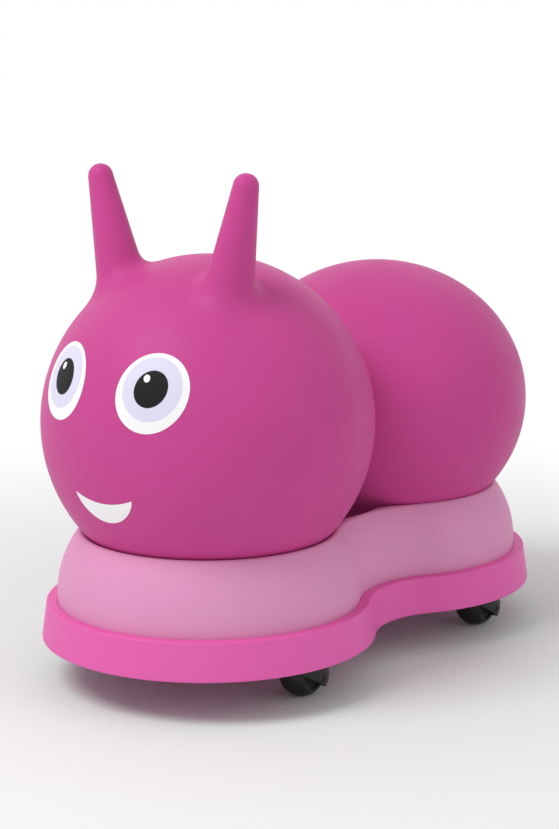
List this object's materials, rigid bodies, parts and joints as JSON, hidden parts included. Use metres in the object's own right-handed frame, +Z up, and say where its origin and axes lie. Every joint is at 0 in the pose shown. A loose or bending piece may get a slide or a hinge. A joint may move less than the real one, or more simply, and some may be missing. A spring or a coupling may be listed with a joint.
{
  "type": "inflatable bouncy hopper",
  "caption": "Peanut-shaped inflatable hopper with antennas and a printed face, seated in a tray that rolls on swivelling ball casters.",
  "frame": {"origin": "on the floor, midway between the axes of the two balls", "axes": "-Y forwards, the way the face looks; +X the hopper's left; +Z up"},
  "size_m": [0.3028, 0.5616, 0.4655],
  "materials": {
    "pink_vinyl": "satin",
    "light_pink_plastic": "satin",
    "hot_pink_plastic": "satin",
    "black_plastic": "matte",
    "steel": "plain",
    "nylon": "matte",
    "white_ink": "satin",
    "lavender_ink": "satin",
    "black_ink": "satin"
  },
  "bodies": {
    "front_left_stem": {"caster_front_left_mount": "black_plastic", "caster_front_left_kingpin": "steel", "caster_front_left_washer": "nylon"},
    "base": {"bumper_base": "hot_pink_plastic", "tray_shell": "light_pink_plastic", "tray_screw_1": "steel", "tray_screw_2": "steel", "tray_screw_3": "steel", "tray_screw_4": "steel", "tray_screw_5": "steel", "tray_screw_6": "steel"},
    "hopper": {"hopper_skin": "pink_vinyl", "left_eye_white": "white_ink", "left_eye_iris": "lavender_ink", "left_eye_pupil": "black_ink", "left_eye_glint": "white_ink", "right_eye_white": "white_ink", "right_eye_iris": "lavender_ink", "right_eye_pupil": "black_ink", "right_eye_glint": "white_ink", "mouth_print": "white_ink"},
    "valve_plug": {"valve_plug": "pink_vinyl"},
    "front_right_stem": {"caster_front_right_mount": "black_plastic", "caster_front_right_kingpin": "steel", "caster_front_right_washer": "nylon"},
    "rear_left_stem": {"caster_rear_left_mount": "black_plastic", "caster_rear_left_kingpin": "steel", "caster_rear_left_washer": "nylon"},
    "rear_right_stem": {"caster_rear_right_mount": "black_plastic", "caster_rear_right_kingpin": "steel", "caster_rear_right_washer": "nylon"},
    "front_left_swivel": {"caster_front_left_hood": "black_plastic", "caster_front_left_axle": "black_plastic"},
    "front_left_wheel": {"caster_front_left_wheel": "black_plastic"},
    "front_right_swivel": {"caster_front_right_hood": "black_plastic", "caster_front_right_axle": "black_plastic"},
    "front_right_wheel": {"caster_front_right_wheel": "black_plastic"},
    "rear_left_swivel": {"caster_rear_left_hood": "black_plastic", "caster_rear_left_axle": "black_plastic"},
    "rear_left_wheel": {"caster_rear_left_wheel": "black_plastic"},
    "rear_right_swivel": {"caster_rear_right_hood": "black_plastic", "caster_rear_right_axle": "black_plastic"},
    "rear_right_wheel": {"caster_rear_right_wheel": "black_plastic"}
  },
  "joints": [
    {"name": "base_lift", "type": "slide", "parent": "front_left_stem", "child": "base", "axis": [0, 0, 1], "range_m": [0, 0.129]},
    {"name": "front_right_stem_drop", "type": "slide", "parent": "base", "child": "front_right_stem", "axis": [0, 0, -1], "range_m": [0, 0.129]},
    {"name": "rear_left_stem_drop", "type": "slide", "parent": "base", "child": "rear_left_stem", "axis": [0, 0, -1], "range_m": [0, 0.129]},
    {"name": "rear_right_stem_drop", "type": "slide", "parent": "base", "child": "rear_right_stem", "axis": [0, 0, -1], "range_m": [0, 0.129]},
    {"name": "hopper_lift", "type": "slide", "parent": "base", "child": "hopper", "axis": [0, 0, 1], "range_m": [0, 0.1124]},
    {"name": "valve_plug_pull", "type": "slide", "parent": "hopper", "child": "valve_plug", "axis": [0, 0.9297, -0.3684], "range_m": [0, 0.03]},
    {"name": "front_left_swivel_turn", "type": "hinge", "parent": "front_left_stem", "child": "front_left_swivel", "pos_m": [0.105, -0.1395, 0.0491], "axis": [0, 0, 1], "continuous": true},
    {"name": "front_left_wheel_roll", "type": "hinge", "parent": "front_left_swivel", "child": "front_left_wheel", "pos_m": [0.105, -0.126, 0.02], "axis": [1, 0, 0], "continuous": true},
    {"name": "front_right_swivel_turn", "type": "hinge", "parent": "front_right_stem", "child": "front_right_swivel", "pos_m": [-0.105, -0.1395, 0.0491], "axis": [0, 0, 1], "continuous": true},
    {"name": "front_right_wheel_roll", "type": "hinge", "parent": "front_right_swivel", "child": "front_right_wheel", "pos_m": [-0.105, -0.126, 0.02], "axis": [1, 0, 0], "continuous": true},
    {"name": "rear_left_swivel_turn", "type": "hinge", "parent": "rear_left_stem", "child": "rear_left_swivel", "pos_m": [0.105, 0.1395, 0.0491], "axis": [0, 0, 1], "continuous": true},
    {"name": "rear_left_wheel_roll", "type": "hinge", "parent": "rear_left_swivel", "child": "rear_left_wheel", "pos_m": [0.105, 0.153, 0.02], "axis": [1, 0, 0], "continuous": true},
    {"name": "rear_right_swivel_turn", "type": "hinge", "parent": "rear_right_stem", "child": "rear_right_swivel", "pos_m": [-0.105, 0.1395, 0.0491], "axis": [0, 0, 1], "continuous": true},
    {"name": "rear_right_wheel_roll", "type": "hinge", "parent": "rear_right_swivel", "child": "rear_right_wheel", "pos_m": [-0.105, 0.153, 0.02], "axis": [1, 0, 0], "continuous": true}
  ],
  "couplings": [
    {"joint": "front_right_stem_drop", "follows": "base_lift", "ratio": 1},
    {"joint": "rear_left_stem_drop", "follows": "base_lift", "ratio": 1},
    {"joint": "rear_right_stem_drop", "follows": "base_lift", "ratio": 1}
  ]
}
